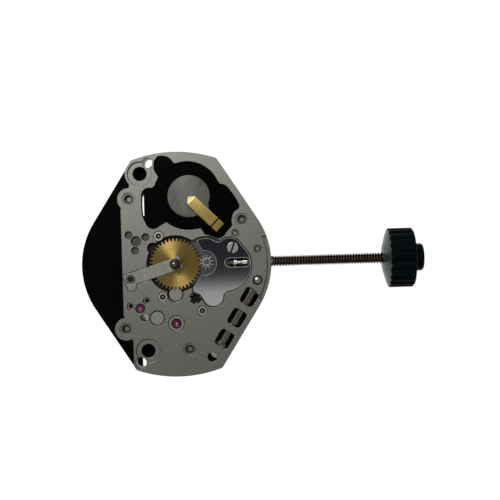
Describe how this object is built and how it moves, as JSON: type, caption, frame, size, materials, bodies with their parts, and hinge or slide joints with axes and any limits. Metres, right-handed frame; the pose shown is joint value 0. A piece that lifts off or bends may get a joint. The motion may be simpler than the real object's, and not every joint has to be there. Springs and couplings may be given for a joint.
{
  "type": "quartz watch movement",
  "caption": "Two-hand quartz watch movement with battery seat, step motor and coil, motion works, and a long threaded setting stem with a fluted crown.",
  "frame": {"origin": "on the axis of the hands at the dial face of the mainplate; the hour hand seat starts just above it", "axes": "+Z towards the dial, +X along the setting stem to 3 o'clock, +Y to 12 o'clock"},
  "size_m": [0.0275, 0.018, 0.0049],
  "materials": {
    "plate_nickel": "satin warm grey nickel plate",
    "black_plastic": "moulded black plastic, half gloss",
    "cell_steel": "nickel-plated steel with a fine brushed grain",
    "gold_contact": "gold-plated spring bronze",
    "ruby": "synthetic ruby, dark magenta",
    "bearing_steel": "turned bright metal",
    "stud_brass": "nickel-washed brass",
    "polished_steel": "polished steel",
    "screw_steel": "polished screw steel",
    "train_brass": "turned brass",
    "clip_steel": "bright rolled sheet steel",
    "pinion_steel": "polished steel",
    "magnet_grey": "sintered magnet, dark grey",
    "stator_alloy": "annealed soft magnetic alloy",
    "coil_wire": "enamelled copper wire, dark",
    "stem_steel": "bright steel with a bronze tint",
    "crown_dark": "dark coated metal",
    "board_resin": "amber circuit board"
  },
  "bodies": {
    "movement": {"mainplate": "plate_nickel", "module_base": "black_plastic", "battery_cell": "cell_steel", "battery_contact": "gold_contact", "ruby_jewels": "ruby", "bearing_discs": "bearing_steel", "plate_studs": "stud_brass", "hole_plugs": "stud_brass", "locating_dowel": "polished_steel", "plate_pillars": "plate_nickel", "pillar_screws": "screw_steel", "centre_bush": "train_brass", "minute_stud": "bearing_steel", "keyless_cover": "polished_steel", "cover_screw": "screw_steel", "hour_wheel_clip": "clip_steel", "stator": "stator_alloy", "coil_core": "stator_alloy", "coil_flanges": "black_plastic", "coil_winding": "coil_wire", "train_bridge": "plate_nickel", "circuit_board": "board_resin", "integrated_circuit": "black_plastic", "quartz_crystal": "cell_steel", "circuit_cover": "clip_steel", "battery_strap": "clip_steel", "bridge_screws": "screw_steel"},
    "minute_arbor": {"cannon_pinion": "pinion_steel", "centre_wheel": "train_brass"},
    "hour_wheel": {"hour_wheel": "train_brass"},
    "minute_wheel": {"minute_wheel": "polished_steel", "minute_pinion": "polished_steel"},
    "third_arbor": {"third_wheel": "train_brass", "third_pinion": "pinion_steel"},
    "intermediate_arbor": {"intermediate_wheel": "train_brass", "intermediate_pinion": "pinion_steel"},
    "step_arbor": {"step_wheel": "train_brass", "step_pinion": "pinion_steel"},
    "rotor": {"rotor_pinion": "pinion_steel", "rotor_magnet": "magnet_grey"},
    "clutch": {"sliding_pinion": "pinion_steel"},
    "stem": {"winding_stem": "stem_steel", "crown": "crown_dark", "crown_hub": "crown_dark"},
    "setting_lever": {"setting_lever": "clip_steel"},
    "yoke": {"yoke": "clip_steel", "yoke_spring": "clip_steel"}
  },
  "joints": [
    {"name": "minute_turn", "type": "hinge", "parent": "movement", "child": "minute_arbor", "pos_m": [0, 0, 0], "axis": [0, 0, 1], "continuous": true},
    {"name": "hour_turn", "type": "hinge", "parent": "movement", "child": "hour_wheel", "pos_m": [0, 0, 0], "axis": [0, 0, 1], "continuous": true},
    {"name": "minute_wheel_turn", "type": "hinge", "parent": "movement", "child": "minute_wheel", "pos_m": [0.00248, 0.00008, 0], "axis": [0, 0, 1], "continuous": true},
    {"name": "third_turn", "type": "hinge", "parent": "movement", "child": "third_arbor", "pos_m": [-0.00007, -0.00243, 0], "axis": [0, 0, 1], "continuous": true},
    {"name": "intermediate_turn", "type": "hinge", "parent": "movement", "child": "intermediate_arbor", "pos_m": [-0.00291, -0.00347, 0], "axis": [0, 0, 1], "continuous": true},
    {"name": "step_turn", "type": "hinge", "parent": "movement", "child": "step_arbor", "pos_m": [-0.00158, -0.00427, 0], "axis": [0, 0, 1], "continuous": true},
    {"name": "rotor_turn", "type": "hinge", "parent": "movement", "child": "rotor", "pos_m": [-0.00005, -0.00475, 0], "axis": [0, 0, 1], "continuous": true},
    {"name": "crown_turn", "type": "hinge", "parent": "movement", "child": "clutch", "pos_m": [0.00466, 0, -0.00105], "axis": [1, 0, 0], "continuous": true},
    {"name": "stem_pull", "type": "slide", "parent": "clutch", "child": "stem", "axis": [1, 0, 0], "range_m": [0, 0.0004]},
    {"name": "lever_swing", "type": "hinge", "parent": "movement", "child": "setting_lever", "pos_m": [0.00661, 0.00104, 0], "axis": [0, 0, 1], "range_deg": [0, 34.08]},
    {"name": "yoke_swing", "type": "hinge", "parent": "movement", "child": "yoke", "pos_m": [0.00486, 0.00235, 0], "axis": [0, 0, 1], "range_deg": [-2.9, 0]}
  ],
  "couplings": [
    {"joint": "hour_turn", "follows": "minute_turn", "ratio": 0.083333},
    {"joint": "minute_wheel_turn", "follows": "minute_turn", "ratio": -0.33333},
    {"joint": "third_turn", "follows": "minute_turn", "ratio": -3.6},
    {"joint": "intermediate_turn", "follows": "minute_turn", "ratio": 7.2},
    {"joint": "step_turn", "follows": "minute_turn", "ratio": -24},
    {"joint": "rotor_turn", "follows": "minute_turn", "ratio": 90},
    {"joint": "lever_swing", "follows": "stem_pull", "rad_per_m": 1485},
    {"joint": "yoke_swing", "follows": "stem_pull", "rad_per_m": -124.22}
  ]
}
